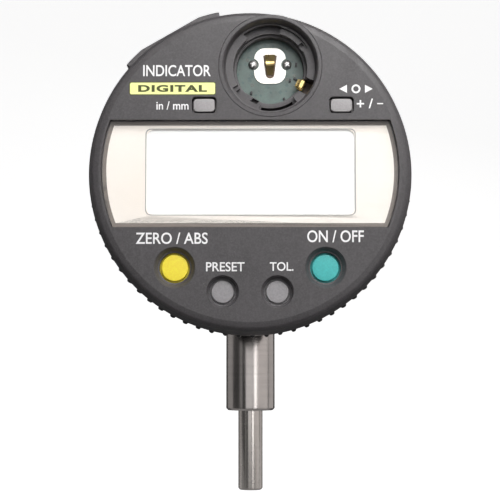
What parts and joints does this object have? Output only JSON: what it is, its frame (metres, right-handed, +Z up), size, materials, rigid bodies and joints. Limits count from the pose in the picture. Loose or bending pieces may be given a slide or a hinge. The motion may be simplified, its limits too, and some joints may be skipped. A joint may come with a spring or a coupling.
{
  "type": "dial indicator",
  "caption": "Digital dial indicator: a round turning display head with buttons and an open battery well on a lug-backed case, with a sprung spindle sliding in a clamping stem.",
  "frame": {"origin": "centre of the stem's lower end, on the spindle's axis", "axes": "+Z up along the spindle, towards the cap; -Y out of the face; +X to the viewer's right"},
  "size_m": [0.0608, 0.0454, 0.0934],
  "materials": {
    "case_plastic": "fine moulded grain, satin",
    "face_plastic": "fine moulded grain, matte",
    "grip_plastic": "moulded, satin",
    "stem_steel": "ground and lapped, lengthwise reflections",
    "spindle_steel": "ground and lapped",
    "bronze": "bored and reamed",
    "plain_steel": "stamped or turned, bright",
    "spring_steel": "drawn wire",
    "screw_steel": "zinc plated",
    "screw_black": "black oxide",
    "rubber": "matte",
    "silicone": "satin",
    "strip_rubber": "matte",
    "aluminium": "milled",
    "board_green": "solder mask over copper",
    "sensor_board": "solder mask over copper",
    "scale_glass": "ground, with plated lines",
    "flex_film": "polyimide film",
    "plug_plastic": "moulded",
    "connector_plastic": "moulded",
    "lens": "clear, polished",
    "frame_grey": "printed border, satin",
    "silver_plate": "fine satin",
    "lcd": "blank display, glossy",
    "lcd_frame": "moulded",
    "chip": "moulded epoxy",
    "component": "ceramic and metal ends",
    "nickel": "nickel plate",
    "gold": "gold plate",
    "button_yellow": "moulded, satin",
    "button_teal": "moulded, satin",
    "button_grey": "moulded, satin"
  },
  "bodies": {
    "case": {"rear_case": "case_plastic", "stem": "stem_steel", "lower_bush": "bronze", "stem_nut": "plain_steel", "bump_washer": "rubber", "upper_bracket": "aluminium", "upper_bush": "bronze", "bracket_screws": "screw_steel", "guide_rail": "aluminium", "detector_board": "sensor_board", "detector_plate": "scale_glass", "detector_screws": "screw_steel", "signal_flex": "flex_film", "flex_plug": "plug_plastic", "top_cap": "case_plastic", "back_cover": "case_plastic", "back_gasket": "rubber", "back_screws": "screw_black", "head_retainer": "plain_steel", "retainer_screws": "screw_steel", "spring_washer": "plain_steel", "dust_seal": "rubber", "stop_pin": "plain_steel", "return_spring": "spring_steel"},
    "measuring_spindle": {"spindle": "spindle_steel", "carrier_block": "aluminium", "carrier_screw": "screw_steel", "guide_pin": "plain_steel", "encoder_scale": "scale_glass"},
    "display_head": {"front_bezel": "face_plastic", "grip_ring": "grip_plastic", "window_lens": "lens", "window_frame": "frame_grey", "display_plate": "silver_plate", "lcd_glass": "lcd", "lcd_reflector": "lcd", "lcd_frame": "lcd_frame", "contact_strips": "strip_rubber", "main_board": "board_green", "processor_chip": "chip", "board_parts": "component", "board_screws": "screw_steel", "battery_contact_minus": "nickel", "contact_screws": "nickel", "battery_contact_plus": "gold", "key_mat": "silicone", "upper_key_pads": "silicone", "head_back_plate": "case_plastic", "head_screws": "screw_black", "output_connector": "connector_plastic", "flex_coil": "flex_film"},
    "port_cover": {"connector_cap": "connector_plastic"},
    "zero_button_body": {"zero_button": "button_yellow"},
    "power_button_body": {"power_button": "button_teal"},
    "preset_button_body": {"preset_button": "button_grey"},
    "tolerance_button_body": {"tolerance_button": "button_grey"},
    "units_button_body": {"units_button": "button_grey"},
    "sense_button_body": {"sense_button": "button_grey"}
  },
  "joints": [
    {"name": "head_turn", "type": "hinge", "parent": "case", "child": "display_head", "pos_m": [0, 0, 0.0444], "axis": [0, -1, 0], "range_deg": [-165, 165], "deforming": ["flex_coil"]},
    {"name": "spindle_slide", "type": "slide", "parent": "case", "child": "measuring_spindle", "axis": [0, 0, 1], "range_m": [0, 0.0127], "stiffness_N_per_m": 40, "springref_m": -0.0225, "deforming": ["return_spring"]},
    {"name": "port_cover_pull", "type": "slide", "parent": "display_head", "child": "port_cover", "axis": [-0.5, 0, 0.866], "range_m": [0, 0.006]},
    {"name": "zero_press", "type": "slide", "parent": "display_head", "child": "zero_button_body", "axis": [0, 1, 0], "range_m": [0, 0.0008], "stiffness_N_per_m": 1800, "springref_m": -0.0003, "deforming": ["key_mat"]},
    {"name": "power_press", "type": "slide", "parent": "display_head", "child": "power_button_body", "axis": [0, 1, 0], "range_m": [0, 0.0008], "stiffness_N_per_m": 1800, "springref_m": -0.0003, "deforming": ["key_mat"]},
    {"name": "preset_press", "type": "slide", "parent": "display_head", "child": "preset_button_body", "axis": [0, 1, 0], "range_m": [0, 0.0008], "stiffness_N_per_m": 1800, "springref_m": -0.0003, "deforming": ["key_mat"]},
    {"name": "tolerance_press", "type": "slide", "parent": "display_head", "child": "tolerance_button_body", "axis": [0, 1, 0], "range_m": [0, 0.0008], "stiffness_N_per_m": 1800, "springref_m": -0.0003, "deforming": ["key_mat"]},
    {"name": "units_press", "type": "slide", "parent": "display_head", "child": "units_button_body", "axis": [0, 1, 0], "range_m": [0, 0.0008], "stiffness_N_per_m": 1800, "springref_m": -0.0003, "deforming": ["upper_key_pads"]},
    {"name": "sense_press", "type": "slide", "parent": "display_head", "child": "sense_button_body", "axis": [0, 1, 0], "range_m": [0, 0.0008], "stiffness_N_per_m": 1800, "springref_m": -0.0003, "deforming": ["upper_key_pads"]}
  ]
}
